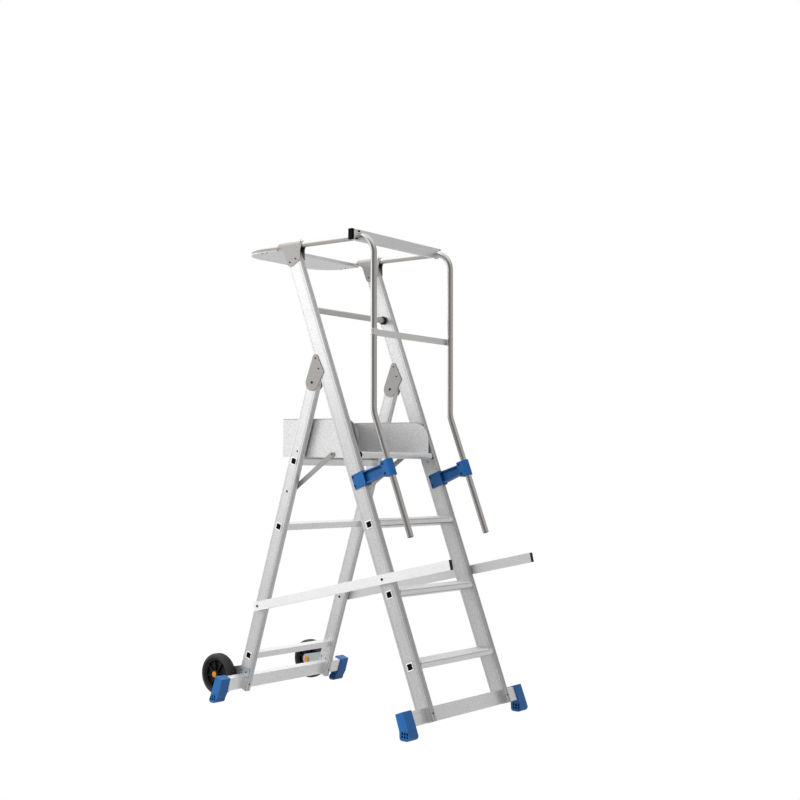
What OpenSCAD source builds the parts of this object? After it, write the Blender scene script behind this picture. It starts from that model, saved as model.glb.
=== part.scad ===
// Podium step: a folding work platform on two splayed frames, with a tubular guard hoop,
// folding deck, long locking side bars, rear wheels and a gate across the climbing side.
// Millimetres, +Z up, -Y is the climbing side, X runs left to right.

/* [Frame] */
// Width over the outer faces of the stiles
frame_w = 518; // [440:1:620]
// Radius of the hinge plates round the fold pivot
hinge_r = 34; // [28:1:36]
// Reach of the hinge plates above the fold pivot, along the stile
hinge_l = 86; // [78:1:96]
// Thickness of the hinge plates
plate_t = 3; // [2:0.5:3]
// Lean of the front stiles from upright, degrees
front_lean = 22.05; // [18:0.05:24]
// Lean of the rear stiles from upright, degrees
rear_lean = 16.63; // [14:0.01:20]
// Height of the fold pivots above the floor
pivot_h = 1327; // [1300:1:1420]
// How far the fold pivots sit behind the centre line of the front stiles
pivot_back = 81; // [72:1:95]
// Height of the caps on the front stiles' tops
top_cap = 8; // [5:0.5:10]
// Clearance between those caps and the hoop above them
top_clear = 6.5; // [5:0.5:30]

/* [Stiles] */
// Width of every stile, seen from the front
stile_w = 25; // [20:0.5:32]
// Depth of the front stiles
front_d = 70; // [60:1:80]
// Depth of the rear stiles
rear_d = 60; // [50:1:66]
// Wall of the stiles
stile_wall = 2.2; // [1.5:0.1:3]
// Outer corner radius of the stiles
stile_r = 2.5; // [1:0.1:4]
// Depth of the shallow grooves that run along the stiles
groove_d = 0.7; // [0.3:0.1:1.2]

/* [Treads and rungs] */
// Rise from one step to the next
step_rise = 263; // [240:1:270]
// Depth of a tread, front to back
tread_d = 80; // [60:1:90]
// Height of a tread's front edge
tread_h = 20; // [18:1:30]
// Wall of a tread
tread_wall = 3; // [2:0.5:4]
// How far a tread stands in front of the stile
tread_nose = 4; // [0:0.5:10]
// Outer side of the square rungs and of the tenon under each tread
rung_s = 27; // [22:0.5:30]
// Wall of the rungs
rung_wall = 1.8; // [1.2:0.1:3]
// How far the flared end of a rung stands out of the stile
flare = 1.5; // [0.5:0.1:3]
// Height of the bottom rear rung
rung_low_h = 191; // [170:1:230]
// Height of the middle rear rung
rung_mid_h = 740; // [650:1:800]

/* [Stabilisers and feet] */
// Length over both shoes of the front stabiliser
front_stab_l = 778; // [640:2:900]
// Length over both shoes of the rear stabiliser
rear_stab_l = 790; // [640:2:900]
// Height of the stabiliser tube
stab_h = 56; // [44:1:62]
// Depth of the stabiliser tube
stab_d = 30; // [24:1:34]
// Wall of the stabiliser tube
stab_wall = 2.5; // [1.5:0.1:4]
// Height of the stabiliser's centre, measured along the stile
stab_at = 77; // [76:1:90]
// How far the stabiliser sits behind the stile's front face
stab_set = 25; // [18:0.5:28]
// Width of a foot shoe
shoe_w = 50; // [40:1:60]
// Wall of a foot shoe
shoe_wall = 4; // [3:0.5:6]
// How far a shoe's sole reaches in front of the stile's centre line at the floor
sole_front = 9; // [5:1:12]
// How far a front shoe's sole reaches behind it
front_sole_rear = 41; // [36:1:48]
// How far a rear shoe's sole reaches behind it
rear_sole_rear = 35; // [30:1:44]
// Height of the crease in a shoe's sides
shoe_crease = 46; // [40:1:50]

/* [Platform] */
// Height of the deck above the floor
deck_h = 1052; // [1045:1:1060]
// Thickness of the deck at its nosing
deck_t = 25; // [24:0.5:30]
// Depth of the deck from its pivot to its rear edge
deck_l = 420; // [380:1:440]
// How far the deck pivot sits in front of the stile's centre line
deck_pivot_w = 24.5; // [20:0.5:26]
// Sheet of the deck and the toe boards
deck_wall = 2.5; // [2:0.1:4]
// Height of the toe boards' top above the deck
toe_h = 129; // [110:1:150]
// Radius of the toe boards' front corner
toe_r = 75; // [40:1:95]
// How far behind the deck pivot the struts hold the deck
strut_reach = 142; // [130:1:150]
// Thickness of the flat struts
strut_t = 4; // [3:0.5:5]
// Width of the flat struts
strut_b = 20; // [16:1:26]
// Height above the floor of the struts' lower pivots
strut_low_h = 886; // [860:1:910]

/* [Guard hoop] */
// Diameter of the hoop tube
tube_d = 25; // [22:0.5:28]
// Wall of the hoop tube
tube_wall = 1.8; // [1.2:0.1:3]
// Distance of the tubes in front of the stiles' centre line
tube_off = 166.5; // [150:0.5:175]
// Height of the tubes' lower ends
tube_low_h = 732; // [700:1:800]
// Height of the lower bend
tube_bend_h = 1208; // [1180:1:1240]
// Backward lean of the upright stretch above the bend, degrees
tube_lean = 1.2; // [0:0.1:3]
// Height of the centre line of the level stretch
tube_top_h = 1889; // [1884:1:1960]
// Radius of the upper bends
tube_top_r = 73; // [60:1:90]
// Radius of the rear corners
tube_rear_r = 110; // [80:1:150]
// Distance from the front upright to the rear cross tube, measured at the top
hoop_l = 722; // [690:1:760]

/* [Brackets and tray] */
// Height of the plastic hoop brackets, at the tube
clamp_h = 993; // [960:1:1020]
// Length of a hoop bracket's clamp, along the tube
clamp_l = 65; // [60:0.5:80]
// Length of a hoop bracket's saddle, along the stile
saddle_l = 58.5; // [54:0.5:70]
// Wall of a hoop bracket
clamp_wall = 5; // [4:0.5:7]
// Length of the sheet saddles, along the hoop
cover_l = 134; // [120:1:150]
// How far the sheet saddles reach down the stiles from the hoop's centre line
cover_drop = 89; // [84:1:100]
// Sheet of the saddles and the tray
sheet = 2; // [1:0.5:3]
// Depth of the tray, from its front edge to the rear cross tube
tray_l = 208; // [190:1:230]
// Height of the tray's front lip
tray_lip = 14; // [10:1:20]

/* [Side bars] */
// Height of a side bar
bar_h = 38; // [30:1:40]
// Thickness of a side bar
bar_t = 15; // [12:0.5:18]
// Gap between a side bar and the stile
bar_gap = 3.5; // [3:0.1:5]
// Wall of a side bar
bar_wall = 1.8; // [1.2:0.1:3]
// Height of the pivot on the rear stile
bar_rear_h = 405; // [395:1:420]
// Height of the lock hole over the front stile
bar_front_h = 566; // [550:1:580]
// Length of a side bar from the pivot to its front end
bar_l = 1021; // [960:1:1080]
// Length of a side bar behind the pivot
bar_tail = 21; // [20:1:30]
// Length of the caps on the side bars' front ends
cap_l = 2.5; // [2:0.5:14]

/* [Wheels] */
// Wheel radius
wheel_r = 88; // [78:1:89]
// Wheel width
wheel_w = 44; // [34:1:48]
// Height of the axle
axle_h = 97; // [93:1:105]
// How far the axle sits behind the rear stile's centre line
axle_back = 121; // [114:1:126]
// Diameter of the axle
axle_d = 14; // [10:0.5:16]
// Thickness of the wheel brackets
bracket_t = 3; // [2:0.5:3.5]
// Height of the wheel brackets' upper bolts along the stile
bracket_h = 126; // [120:1:140]

/* [Gate] */
// Height of the top gate bar's profile
gate_h = 42; // [38:1:46]
// Depth of the top gate bar's profile
gate_d = 20; // [16:1:24]
// How far the top gate bar sits behind the upright tubes' upper ends
gate_back = 72; // [72:1:86]
// How far the top gate bar reaches past the left tube
gate_out = 46; // [44:1:80]
// How far its centre line sits above the hoop's
gate_rise = 6; // [0:0.5:6]
// Height of the middle gate bar
mid_gate_h = 1516; // [1508:1:1540]
// Height of the middle gate bar's flat profile
mid_gate_b = 25; // [20:1:30]
// Height of the round knee rail over the middle of the gap between the hinge plates and the saddles
knee_off = 19.5; // [-60:0.5:60]

/* [Hidden] */
$fn = 48;

// Clearance between pieces that move past each other, and the radial play of a running pin
gap = 0.3;
play = 0.05;
mid_x = (frame_w - stile_w) / 2;         // centre plane of each stile
in_x = frame_w / 2 - stile_w;            // inner faces of the stiles
out_x = frame_w / 2;                     // outer faces of the stiles
rivet_r = 1.1 * sheet;
pin_r = 2 * sheet;
head_t = sheet;
rivet_head = rivet_r + 0.6;
pin_head = pin_r + 1;
reach_x = 2 * frame_w;                   // longer than anything is wide or deep, for cuts
stile_top_h = tube_top_h - tube_d / 2 - top_clear - top_cap;

// Side-view geometry, measured from the front stiles' centre line at the floor
function front_y(h) = h * tan(front_lean);
pivot_y = front_y(pivot_h) + pivot_back / cos(front_lean);
rear_floor_y = pivot_y + pivot_h * tan(rear_lean);
function rear_y(h) = rear_floor_y - h * tan(rear_lean);
function front_u(h, w) = (h - w * sin(front_lean)) / cos(front_lean);
function rear_v(h) = h / cos(rear_lean);
axle_y = rear_y(axle_h) + axle_back / cos(rear_lean);
rung_half = rung_s / 2 * (cos(rear_lean) + sin(rear_lean));
rung_top_h = deck_h - deck_t - 0.4 - rung_half;     // the deck comes down on the top rung
rear_rung_h = [rung_low_h, rung_mid_h, rung_top_h];
bar_run = rear_y(bar_rear_h) - front_y(bar_front_h);
bar_slope = atan2(bar_front_h - bar_rear_h, bar_run);
bar_lock = norm([bar_run, bar_front_h - bar_rear_h]);
min_y = rear_y(bar_rear_h) - bar_l * cos(bar_slope) - bar_h / 2 * sin(bar_slope);
max_y = axle_y + wheel_r;
y0 = -(min_y + max_y) / 2;               // puts the origin under the middle of the whole object

deck_pivot_h = deck_h - deck_t / 2;
deck_pivot_y = front_y(deck_pivot_h) - deck_pivot_w / cos(front_lean);
deck_x = in_x - 9;                       // half width of the deck between its toe boards
toe_x = deck_x + deck_wall;
strut_x = in_x - 1.2 - strut_t;          // inner face of a strut
strut_low_y = rear_y(strut_low_h);
strut_top = [deck_pivot_y + strut_reach, deck_pivot_h];
strut_l = norm([strut_low_y - strut_top[0], strut_low_h - strut_top[1]]);
strut_slope = atan2(strut_top[1] - strut_low_h, strut_low_y - strut_top[0]);

tube_x = mid_x;                          // the tubes stand straight over the stiles
tube_r = tube_d / 2;
bend_y = front_y(tube_bend_h) - tube_off / cos(front_lean);
bend_r = 90;
hoop_rise = tube_top_h - tube_bend_h;
upright_top_y = bend_y + hoop_rise * tan(tube_lean);
gate_y = upright_top_y + gate_back;
bar_x = out_x + bar_gap + bar_t / 2;     // centre plane of each side bar
wheel_x = out_x + bracket_t + 2 + wheel_w / 2;
notch_w = front_d / 2 - stab_set;
// Small rivet in the inner face of the front stile, under the deck pivot: offset and height along the stile
deck_rivet = [tread_h / 10, front_u(deck_pivot_h, 0) - deck_t];

module on_front() { translate([0, y0, 0]) rotate([-front_lean, 0, 0]) children(); }
module on_rear() { translate([0, y0 + rear_floor_y, 0]) rotate([rear_lean, 0, 0]) children(); }
module both() { for (s = [-1, 1]) scale_x(s) children(); }
module scale_x(s) { if (s < 0) mirror([1, 0, 0]) children(); else children(); }
module along_x(l) { rotate([90, 0, 90]) linear_extrude(l, center = true) children(); }
module rod_x(r, l) { rotate([0, 90, 0]) cylinder(r = r, h = l, center = true); }
// An upright plate in the Y-Z plane, from x to x + t
module plate_x(x, t) { translate([x, 0, 0]) rotate([90, 0, 90]) linear_extrude(t) children(); }
function arc(c, r, a0, a1, n) = [for (i = [0:n]) c + r * [cos(a0 + (a1 - a0) * i / n), sin(a0 + (a1 - a0) * i / n)]];

module round_rect(w, d, r) {
    square([w - 2 * r, d], center = true);
    square([w, d - 2 * r], center = true);
    for (x = [-1, 1], y = [-1, 1]) translate([x * (w / 2 - r), y * (d / 2 - r)]) circle(r);
}

// Hollow box section with shallow grooves: the stile's width along X, its depth along Y
module stile_section(d) {
    difference() {
        round_rect(stile_w, d, stile_r);
        square([stile_w - 2 * stile_wall, d - 2 * stile_wall], center = true);
        for (x = [-1, 0, 1]) translate([x * 6, -d / 2]) square([2.4, 2 * groove_d], center = true);
        for (x = [-1, 1], y = [-1, 1])
            translate([x * stile_w / 2, y * (d / 2 - 10)]) square([2 * groove_d, 2.4], center = true);
    }
}

module square_tube(s, wall, l) {
    along_x(l) difference() {
        square(s, center = true);
        square(s - 2 * wall, center = true);
    }
}

// Heights along the stile of the front tread tenons, under the tread tops
tenon_drop = rung_s / 2 * (cos(front_lean) + sin(front_lean));
function tread_u(i) = front_u(step_rise * i - tenon_drop, 0);

module front_stile(s) {
    top_u = front_u(stile_top_h, 0);
    stab_top = stab_at + stab_h / 2;
    color("gainsboro") on_front() difference() {
        translate([s * mid_x, 0, stab_at - stab_h / 2 - 2]) linear_extrude(top_u) stile_section(front_d);
        translate([s * mid_x, 0, 0]) rotate([front_lean, 0, 0])
            translate([-stile_w, front_y(stile_top_h) - 2 * front_d, stile_top_h])
                cube([2 * stile_w, 4 * front_d, 2 * front_d]);
        translate([s * mid_x - stile_w, -notch_w, 0]) cube([2 * stile_w, front_d, stab_top]);
        for (i = [1:3]) translate([s * mid_x, 0, tread_u(i)]) along_x(2 * stile_w) square(rung_s, center = true);
        translate([s * in_x, -deck_pivot_w, front_u(deck_pivot_h, deck_pivot_w)]) rod_x(pin_r, 3 * stile_wall);
        translate([s * in_x, deck_rivet[0], deck_rivet[1]]) rod_x(rivet_r + play, 3 * stile_wall);
        translate([s * out_x, 0, front_u(bar_front_h, 0)]) rod_x(pin_r, 3 * stile_wall);
        translate([s * mid_x, -front_d / 2, stab_at]) rotate([90, 0, 0])
            cylinder(r = rivet_r + play, h = 4 * stile_wall, center = true);
    }
}

module stile_caps() {
    color("black") both() intersection() {
        on_front() translate([mid_x, 0, front_u(stile_top_h, 0) - front_d]) linear_extrude(3 * front_d)
            round_rect(stile_w, front_d, stile_r);
        translate([0, -reach_x, stile_top_h]) cube([frame_w, 2 * reach_x, top_cap]);
    }
}

// A tread: a ribbed top with front and rear skirts, carried on a square tenon tube that goes through both stiles
module tread(i) {
    top = step_rise * i;
    front = y0 + front_y(top) - front_d / 2 / cos(front_lean) - tread_nose;
    color("silver") {
        difference() {
            union() {
                along_x(2 * in_x) difference() {
                    translate([front, top - tread_h]) square([tread_d, tread_h]);
                    translate([front + tread_wall, top - tread_h - 1]) square([tread_d - 2 * tread_wall, tread_h + 1 - tread_wall]);
                    for (k = [1:9]) translate([front + k * tread_d / 10, top]) square([2.6, 1.6], center = true);
                }
                on_front() translate([0, 0, tread_u(i)]) {
                    along_x(2 * (out_x + flare)) square(rung_s, center = true);
                    both() translate([out_x + flare / 2, 0, 0]) along_x(flare) square(rung_s + 3, center = true);
                }
            }
            on_front() translate([0, 0, tread_u(i)]) along_x(reach_x) square(rung_s - 2 * rung_wall, center = true);
        }
    }
}

module stab_tube(l) {
    color("lightgrey") along_x(l - 2 * shoe_wall) difference() {
        round_rect(stab_d, stab_h, 2);
        square([stab_d - 2 * stab_wall, stab_h - 2 * stab_wall], center = true);
    }
}
stab_y = notch_w - stab_d / 2;           // forward offset of the stabiliser's centre in the front frame
rear_stab_y = rear_d / 2 - stab_set - stab_d / 2;
module front_stabiliser() { on_front() translate([0, -stab_y, stab_at]) stab_tube(front_stab_l); }
module rear_stabiliser() { on_rear() translate([0, -rear_stab_y, stab_at]) stab_tube(rear_stab_l); }

// Side outline of a shoe that hangs on a stabiliser leaning back by a, with its flat sole on the floor
module shoe_outline(a, cy, rear) {
    top = stab_at + stab_h / 2 + shoe_wall;
    half = stab_d / 2 + shoe_wall;
    toe = sole_front + shoe_wall * 2;
    heel = shoe_wall * 3;
    function at(w, u) = [w * cos(a) + u * sin(a), u * cos(a) - w * sin(a)];
    polygon(concat([at(cy - half, top), at(cy - half - 1, shoe_crease)],
        arc([toe - sole_front, toe], toe, 180, 270, 6), arc([rear - heel, heel], heel, 270, 360, 6),
        [at(cy + half + 3, shoe_crease), at(cy + half, top)]));
}

module shoe(a, centre_y, rear, l) {
    inner = l / 2 - shoe_w;
    mid = (rear - sole_front) / 2;
    cell = 2 * shoe_wall;
    color([0.14, 0.42, 0.72]) difference() {
        plate_x(inner, shoe_w) shoe_outline(a, centre_y, rear);
        rotate([-a, 0, 0]) translate([l / 2 - shoe_wall - reach_x / 2, centre_y, stab_at])
            along_x(reach_x) round_rect(stab_d, stab_h, 2);
        for (i = [-1:1], j = [0, 1])
            translate([inner - 1, mid + (1.5 * i - 0.5) * cell, (1.3 + 1.5 * j) * cell])
                cube([shoe_w + 2, cell, 1.2 * cell]);
    }
}
module front_foot(s) { translate([0, y0, 0]) scale_x(s) shoe(front_lean, -stab_y, front_sole_rear, front_stab_l); }
module rear_foot(s) {
    translate([0, y0 + rear_floor_y, 0]) scale_x(s) shoe(-rear_lean, -rear_stab_y, rear_sole_rear, rear_stab_l);
}

module front_stabiliser_rivets() {
    color("dimgray") on_front() both()
        translate([mid_x, -front_d / 2 - head_t, stab_at]) rotate([-90, 0, 0]) {
            cylinder(r = rivet_head, h = head_t);
            cylinder(r = rivet_r, h = head_t + stile_wall);
        }
}
module rear_stabiliser_rivets() {
    color("dimgray") on_rear() both()
        translate([mid_x, -rear_d / 2 - head_t, stab_at]) rotate([-90, 0, 0]) {
            cylinder(r = rivet_head, h = head_t);
            cylinder(r = rivet_r, h = head_t + stile_wall);
        }
}

// Fold hinge: two plates a side, riveted near the front stile's rear face; the rear stile turns between them
hinge_u = pivot_h * cos(front_lean) + pivot_y * sin(front_lean);
rivet_y = front_d / 2 - 6.5;
hinge_rivets = [[rivet_y, hinge_u + hinge_l - 3], [rivet_y, hinge_u + 0.43 * hinge_l]];
module hinge_outline() {
    hull() {
        translate([pivot_back, hinge_u]) circle(hinge_r, $fn = 40);
        translate([rivet_y, hinge_u + hinge_l]) circle(hinge_r * 0.4, $fn = 32);
        translate([front_d / 5, hinge_u + hinge_r / 2]) circle(hinge_r / 5, $fn = 24);
    }
}
module hinge_plates(s) {
    color([0.67, 0.66, 0.64]) on_front() scale_x(s) difference() {
        for (x = [in_x - gap - plate_t, out_x + gap]) plate_x(x, plate_t) hinge_outline();
        for (p = hinge_rivets) translate([mid_x, p[0], p[1]]) rod_x(rivet_r + play, 3 * stile_w);
        translate([mid_x, pivot_back, hinge_u]) rod_x(pin_r + play, 3 * stile_w);
    }
}
module hinge_plate_rivets() {
    reach = stile_w + 2 * (gap + plate_t);
    color("dimgray") on_front() both() for (p = hinge_rivets) translate([mid_x, p[0], p[1]])
        for (e = [-1, 1]) {
            translate([e * (reach / 2 - plate_t / 2), 0, 0]) rod_x(rivet_r, plate_t);
            translate([e * (reach / 2 + head_t / 2), 0, 0]) rod_x(rivet_head, head_t);
        }
}
module fold_pivot_bolts() {
    reach = stile_w + 2 * (gap + plate_t);
    color("dimgray") on_front() both() translate([mid_x, pivot_back, hinge_u]) {
        rod_x(pin_r, reach);
        for (e = [-1, 1]) translate([e * (reach / 2 + head_t / 2), 0, 0]) rod_x(pin_head, head_t);
    }
}
module deck_pivot_pins() {
    in_end = deck_x - 14;
    out_end = in_x + 2 * stile_wall;
    color("black") on_front() both() {
        translate([0, -deck_pivot_w, front_u(deck_pivot_h, deck_pivot_w)]) {
            translate([(out_end + in_end) / 2, 0, 0]) rod_x(pin_r - play, out_end - in_end);
            translate([(in_x + toe_x + gap) / 2, 0, 0]) rod_x(2 * pin_r, in_x - toe_x - gap);
        }
        translate([in_x, deck_rivet[0], deck_rivet[1]]) {
            translate([-head_t / 2, 0, 0]) rod_x(rivet_head, head_t);
            translate([stile_wall / 2, 0, 0]) rod_x(rivet_r, stile_wall);
        }
    }
}

// Guard hoop: one bent tube. Ring sections swept along straights and bends
module ring() { difference() { circle(tube_r); circle(tube_r - tube_wall); } }
module bend(r, a) { rotate_extrude(angle = a) translate([r, 0]) ring(); }
turn = front_lean - tube_lean;
low_l = (tube_bend_h - tube_low_h) / cos(front_lean);
set_back = bend_r * tan(turn / 2);
top_turn = 90 - tube_lean;
top_set = tube_top_r * tan(top_turn / 2);
up_l = hoop_rise / cos(tube_lean);
rear_run = hoop_l - tube_rear_r;
module hoop_side() {
    translate([tube_x, y0 + bend_y, tube_bend_h]) {
        rotate([-front_lean, 0, 0]) translate([0, 0, -low_l]) linear_extrude(low_l - set_back) ring();
        rotate([-front_lean, 0, 0]) translate([0, -bend_r, -set_back]) rotate([90, 0, 90]) bend(bend_r, turn);
        rotate([-tube_lean, 0, 0]) translate([0, 0, set_back]) linear_extrude(up_l - set_back - top_set) ring();
        rotate([-tube_lean, 0, 0]) translate([0, tube_top_r, up_l - top_set]) rotate([90, 0, 90])
            rotate([0, 0, 90 + tube_lean]) bend(tube_top_r, top_turn);
    }
    translate([tube_x, y0 + upright_top_y + top_set, tube_top_h]) rotate([-90, 0, 0])
        linear_extrude(rear_run - top_set) ring();
    translate([tube_x - tube_rear_r, y0 + upright_top_y + rear_run, tube_top_h]) bend(tube_rear_r, 90);
}
module guard_hoop() {
    color([0.72, 0.70, 0.68]) {
        both() hoop_side();
        translate([0, y0 + upright_top_y + hoop_l, tube_top_h]) rotate([0, 90, 0])
            linear_extrude(2 * (tube_x - tube_rear_r), center = true) ring();
    }
}

// Plastic bracket: a saddle over the stile, a ribbed arm and a clamp round the tube
clamp_u = front_u(clamp_h, tube_off);
clamp_out = clamp_l / 4;                 // half width of the clamp's body
clamp_in = tube_off - clamp_out - 4;     // rear face of the clamp's body
saddle_bolts = [[0.15 * front_d, 0.44 * saddle_l], [0.15 * front_d, -0.19 * saddle_l]];
clamp_bolts = [[clamp_out + 3.5 - tube_off, 0.34 * clamp_l], [clamp_out + 3.5 - tube_off, -0.25 * clamp_l]];
module arm_outline(t) {
    polygon([[-front_d / 2, 0.53 * saddle_l - t], [2 - clamp_in, 0.37 * clamp_l - t],
        [2 - clamp_in, t - clamp_l / 4], [-front_d / 2, t - 0.34 * saddle_l]]);
}
module hoop_bracket(s) {
    wall = clamp_wall;
    color([0.14, 0.42, 0.72]) on_front() scale_x(s) translate([0, 0, clamp_u]) difference() {
        union() {
            translate([in_x - wall, -front_d / 2 - 1.7 * wall, -0.4 * saddle_l])
                cube([stile_w + 2 * wall, 1.7 * wall + 0.735 * front_d, saddle_l]);
            translate([tube_x, -tube_off, -clamp_l / 2]) cylinder(r = tube_r + wall + 1, h = clamp_l);
            translate([tube_x - clamp_out - 0.75, -tube_off, -0.43 * clamp_l])
                cube([2 * clamp_out + 1.5, tube_off - clamp_in + 8.75, 0.95 * clamp_l]);
            plate_x(mid_x - wall * 0.6, wall * 1.2) arm_outline(0);
            plate_x(mid_x - 0.56 * stile_w, 1.12 * stile_w) difference() { arm_outline(0); arm_outline(wall); }
        }
        translate([mid_x, 0, 0]) cube([stile_w, front_d, 3 * saddle_l], center = true);
        translate([tube_x, -tube_off, -clamp_l]) cylinder(r = tube_r, h = 2 * clamp_l);
        for (p = saddle_bolts) translate([mid_x, p[0], p[1]]) rod_x(rivet_r + play, 3 * stile_w);
        for (p = clamp_bolts) translate([tube_x, p[0], p[1]]) rod_x(rivet_r + play, 3 * stile_w);
    }
}
module hoop_bracket_bolts() {
    half = clamp_out + 0.75;
    color("dimgray") on_front() both() translate([0, 0, clamp_u]) {
        for (p = saddle_bolts, e = [-1, 1]) translate([mid_x + e * (stile_w / 2 + clamp_wall), p[0], p[1]]) {
            translate([e * head_t / 2, 0, 0]) rod_x(rivet_r + 2, head_t);
            translate([-e * clamp_wall / 2, 0, 0]) rod_x(rivet_r, clamp_wall);
        }
        for (p = clamp_bolts) translate([tube_x, p[0], p[1]]) {
            rod_x(rivet_r, 2 * half);
            for (e = [-1, 1]) translate([e * (half + head_t / 2), 0, 0]) rod_x(rivet_r + 2, head_t);
        }
    }
}

// Sheet saddle that wraps the level tube and runs down both faces of the stile's top
function cover_at(y, z) = [y * cover_l, z * cover_drop];
module top_outline() {
    translate([front_y(tube_top_h), tube_top_h]) polygon([cover_at(-0.522, 0), cover_at(-0.463, -0.247),
        cover_at(-0.478, -0.697), cover_at(-0.149, -0.978), cover_at(-0.06, -1), cover_at(0.045, -0.899),
        cover_at(0.209, -0.292), cover_at(0.313, -0.146), cover_at(0.478, 0)]);
}
top_rivets = [cover_at(-0.045, -0.775), cover_at(-0.276, -0.64)];
module top_bracket(s) {
    top = y0 + front_y(tube_top_h);
    color([0.67, 0.66, 0.64]) scale_x(s) difference() {
        union() {
            for (x = [in_x - sheet, out_x]) translate([0, y0, 0]) plate_x(x, sheet) top_outline();
            translate([tube_x, top - 0.522 * cover_l, tube_top_h]) rotate([-90, 0, 0])
                cylinder(r = tube_r + sheet, h = cover_l);
        }
        translate([tube_x, top, tube_top_h]) rotate([90, 0, 0]) cylinder(r = tube_r, h = 3 * cover_l, center = true);
        translate([in_x, top - 2 * cover_l, tube_top_h - 3 * cover_drop]) cube([stile_w, 4 * cover_l, 3 * cover_drop]);
        for (p = top_rivets) translate([mid_x, top + p[0], tube_top_h + p[1]]) rod_x(rivet_r + play, 3 * stile_w);
    }
}
module top_bracket_rivets() {
    top = y0 + front_y(tube_top_h);
    color("dimgray") both() for (p = top_rivets, e = [-1, 1])
        translate([mid_x + e * (stile_w / 2 + sheet), top + p[0], tube_top_h + p[1]]) {
            translate([e * head_t / 2, 0, 0]) rod_x(rivet_head, head_t);
            translate([-e * sheet / 2, 0, 0]) rod_x(rivet_r, sheet);
        }
}

// D-shaped sheet tray under the rear of the hoop
tray_y = upright_top_y + hoop_l - tray_l;
module tray_outline(d) {
    r = tube_rear_r + d;
    w = tube_x + d;
    back = upright_top_y + hoop_l + d;
    polygon(concat([[-w, tray_y], [w, tray_y]], arc([w - r, back - r], r, 0, 90, 12), arc([r - w, back - r], r, 90, 180, 12)));
}
tray_bolt_y = [tray_y + tray_l / 3, upright_top_y + rear_run - rivet_head];
module tool_tray() {
    z = tube_top_h - tube_r - sheet;
    color("gainsboro") translate([0, y0, 0]) difference() {
        union() {
            translate([0, 0, z]) linear_extrude(sheet) tray_outline(tube_r);
            translate([-(tube_x - tube_r - 1), tray_y, z]) cube([2 * (tube_x - tube_r - 1), sheet, tray_lip]);
        }
        for (s = [-1, 1], y = tray_bolt_y) translate([s * tube_x, y, z - sheet]) cylinder(r = rivet_r + play, h = 3 * sheet);
    }
}
module tray_bolts() {
    z = tube_top_h - tube_r - sheet;
    color("dimgray") for (s = [-1, 1], y = tray_bolt_y) translate([s * tube_x, y0 + y, z]) {
        translate([0, 0, -head_t]) cylinder(r = rivet_head, h = head_t);
        cylinder(r = rivet_r, h = sheet);
    }
}

knee_h = (pivot_h + hinge_l + tube_top_h - cover_drop) / 2 + knee_off;
knee_y = y0 + front_y(knee_h) + 10;
module knee_rail() {
    color("silver") translate([0, knee_y, knee_h]) rotate([0, 90, 0])
        linear_extrude(2 * in_x, center = true) ring();
}
module knee_rail_collars() {
    color("black") both() translate([in_x - 10, knee_y, knee_h]) rotate([0, 90, 0])
        difference() { cylinder(r = tube_r + 5, h = 10); translate([0, 0, -1]) cylinder(r = tube_r, h = 12); }
}

module rear_stile(s) {
    top_v = rear_v(pivot_h) + 0.45 * rear_d;
    stab_top = stab_at + stab_h / 2;
    notch = rear_d / 2 - stab_set;
    low = stab_at - stab_h / 2 - 2;
    color("gainsboro") on_rear() difference() {
        translate([s * mid_x, 0, low]) linear_extrude(top_v - low) stile_section(rear_d);
        translate([s * mid_x - stile_w, -notch, 0]) cube([2 * stile_w, rear_d, stab_top]);
        for (h = rear_rung_h) translate([s * mid_x, 0, rear_v(h)]) along_x(2 * stile_w) square(rung_s, center = true);
        translate([s * mid_x, 0, rear_v(pivot_h)]) rod_x(pin_r + play, 2 * stile_w);
        translate([s * mid_x, 0, rear_v(bar_rear_h)]) rod_x(pin_r, 2 * stile_w);
        translate([s * mid_x, 0, rear_v(strut_low_h)]) rod_x(pin_r - 1, 2 * stile_w);
        translate([s * mid_x, -rear_d / 11, rear_v(deck_h)]) rod_x(pin_r, 2 * stile_w);
        translate([s * mid_x, -rear_d / 2, stab_at]) rotate([90, 0, 0])
            cylinder(r = rivet_r + play, h = 4 * stile_wall, center = true);
    }
}
module rear_rung(i) {
    color("silver") on_rear() translate([0, 0, rear_v(rear_rung_h[i])]) {
        square_tube(rung_s, rung_wall, 2 * (out_x + flare));
        both() translate([out_x + flare / 2, 0, 0]) along_x(flare) difference() {
            square(rung_s + 3, center = true);
            square(rung_s - 2 * rung_wall, center = true);
        }
    }
}

// Wheel bracket plate on the rear stile's outer face, carrying a stub axle
axle_v = axle_h * cos(rear_lean) - (axle_y - rear_floor_y) * sin(rear_lean);
axle_w = axle_h * sin(rear_lean) + (axle_y - rear_floor_y) * cos(rear_lean);
bracket_bolts = [[-0.15 * rear_d, bracket_h], [0.33 * rear_d, bracket_h]];
module wheel_brackets() {
    color([0.66, 0.70, 0.72]) on_rear() both() difference() {
        plate_x(out_x, bracket_t) hull() {
            translate([axle_w, axle_v]) circle(1.7 * axle_d, $fn = 40);
            translate([0.28 * rear_d, bracket_h + 4]) circle(0.27 * rear_d, $fn = 32);
            translate([-0.22 * rear_d, bracket_h + 8]) circle(0.22 * rear_d, $fn = 32);
            translate([-0.28 * rear_d, bracket_h - 6]) circle(0.2 * rear_d, $fn = 32);
        }
        translate([0, -rear_stab_y, stab_at]) along_x(reach_x) round_rect(stab_d + 0.4, stab_h + 0.4, 2);
        for (p = bracket_bolts) translate([mid_x, p[0], p[1]]) rod_x(rivet_r + play, 3 * stile_w);
        translate([mid_x, axle_w, axle_v]) rod_x(axle_d / 2, 3 * stile_w);
    }
}
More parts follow.
